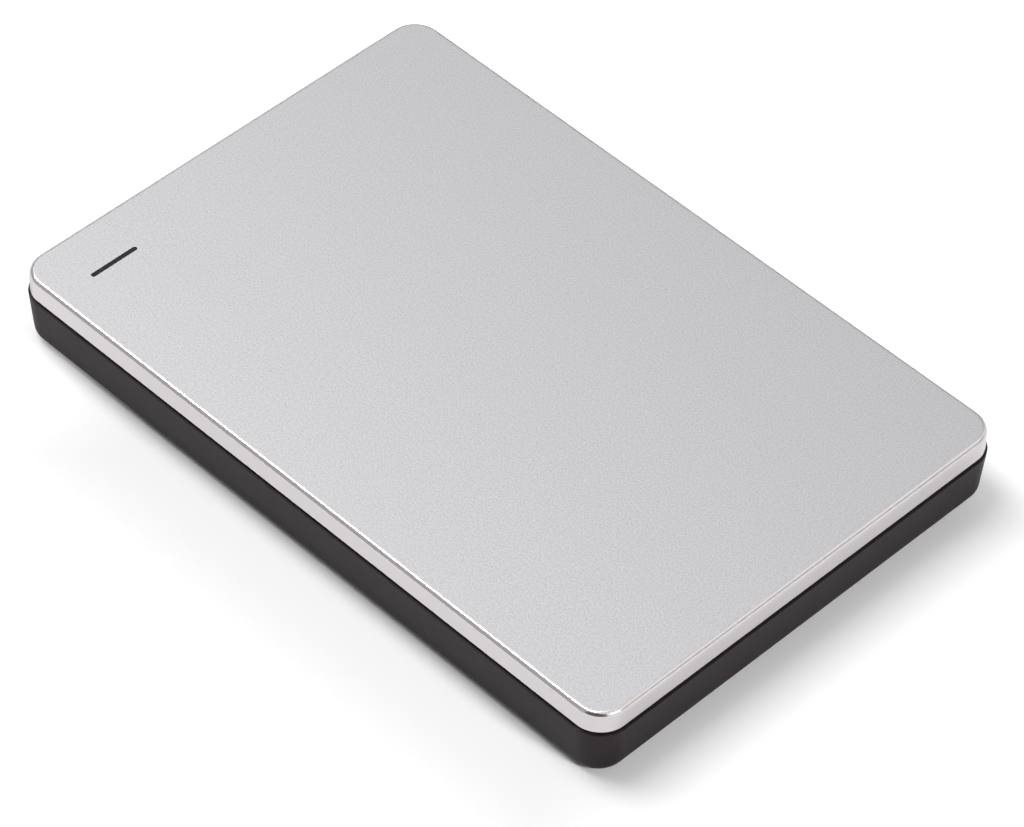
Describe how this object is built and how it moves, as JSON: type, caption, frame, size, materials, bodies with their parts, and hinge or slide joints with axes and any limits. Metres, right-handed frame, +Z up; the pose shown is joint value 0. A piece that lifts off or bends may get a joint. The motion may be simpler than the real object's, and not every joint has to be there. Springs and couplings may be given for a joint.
{
  "type": "portable external hard drive",
  "caption": "Slim portable external hard drive: silver metal cover with a light slot on a black drafted base with a USB port, disk mechanism and bridge board inside.",
  "frame": {"origin": "middle of the case's footprint, on the surface it lies on", "axes": "+Z up through the metal cover, +Y along the case towards the short end with the USB port, +X to the right seen from the closed end"},
  "size_m": [0.0762, 0.1134, 0.0121],
  "materials": {
    "cover_aluminium": "sandblasted and anodised silver",
    "base_plastic": "moulded black ABS, fine texture",
    "lens": "smoked polycarbonate",
    "rubber": "moulded rubber",
    "foam": "soft foam",
    "gasket": "moulded in place",
    "circuit_board": "solder resist",
    "chip_epoxy": "moulded epoxy",
    "plated_steel": "nickel plated",
    "stainless_sheet": "stamped",
    "bearing_steel": "ground",
    "cast_aluminium": "die cast",
    "magnet": "nickel plated",
    "copper_wire": "enamelled winding",
    "disc_coating": "polished",
    "slider_ceramic": "lapped",
    "connector_plastic": "moulded",
    "ramp_plastic": "moulded",
    "contact_gold": "gold plated",
    "flex_film": "polyimide film",
    "led_resin": "clear resin"
  },
  "bodies": {
    "case": {"air_filter": "foam", "back_left_bumper": "rubber", "back_right_bumper": "rubber", "base_shell": "base_plastic", "bearing_sleeve": "bearing_steel", "bridge_board": "circuit_board", "bridge_controller": "chip_epoxy", "bridge_crystal": "plated_steel", "bridge_inductor": "chip_epoxy", "bridge_memory": "chip_epoxy", "buffer_memory": "chip_epoxy", "clip_frame": "base_plastic", "cover_gasket": "gasket", "cover_screws": "plated_steel", "crash_stops": "rubber", "drive_base": "cast_aluminium", "drive_board": "circuit_board", "drive_board_screws": "plated_steel", "drive_controller": "chip_epoxy", "drive_cover": "stainless_sheet", "flex_bracket": "connector_plastic", "flex_cable": "flex_film", "foam_pad": "foam", "front_left_bumper": "rubber", "front_right_bumper": "rubber", "indicator_led": "led_resin", "light_pipe": "lens", "lower_magnet": "magnet", "lower_yoke": "plated_steel", "motor_coils": "copper_wire", "motor_driver": "chip_epoxy", "motor_stator": "bearing_steel", "parking_ramp": "ramp_plastic", "pivot_post": "bearing_steel", "ramp_screw": "plated_steel", "sata_plug": "connector_plastic", "sata_plug_contacts": "contact_gold", "sata_socket": "connector_plastic", "sata_socket_contacts": "contact_gold", "thrust_cap": "bearing_steel", "top_cover": "cover_aluminium", "upper_magnet": "magnet", "upper_yoke": "plated_steel", "usb_contacts": "contact_gold", "usb_insulator": "connector_plastic", "usb_shell": "plated_steel", "yoke_posts": "plated_steel"},
    "spindle": {"spindle_hub": "cast_aluminium", "spindle_shaft": "bearing_steel", "rotor_magnet": "magnet", "platter": "disc_coating", "disc_clamp": "stainless_sheet", "clamp_screw": "plated_steel"},
    "actuator": {"pivot_cartridge": "bearing_steel", "actuator_arm": "cast_aluminium", "voice_coil": "copper_wire", "head_suspensions": "stainless_sheet", "head_sliders": "slider_ceramic"}
  },
  "joints": [
    {"name": "spindle_spin", "type": "hinge", "parent": "case", "child": "spindle", "pos_m": [0, -0.01866, 0.0064], "axis": [0, 0, 1], "continuous": true},
    {"name": "actuator_swing", "type": "hinge", "parent": "case", "child": "actuator", "pos_m": [0.01, 0.02304, 0.00672], "axis": [0, 0, 1], "range_deg": [0, 32], "deforming": ["flex_cable"]}
  ]
}
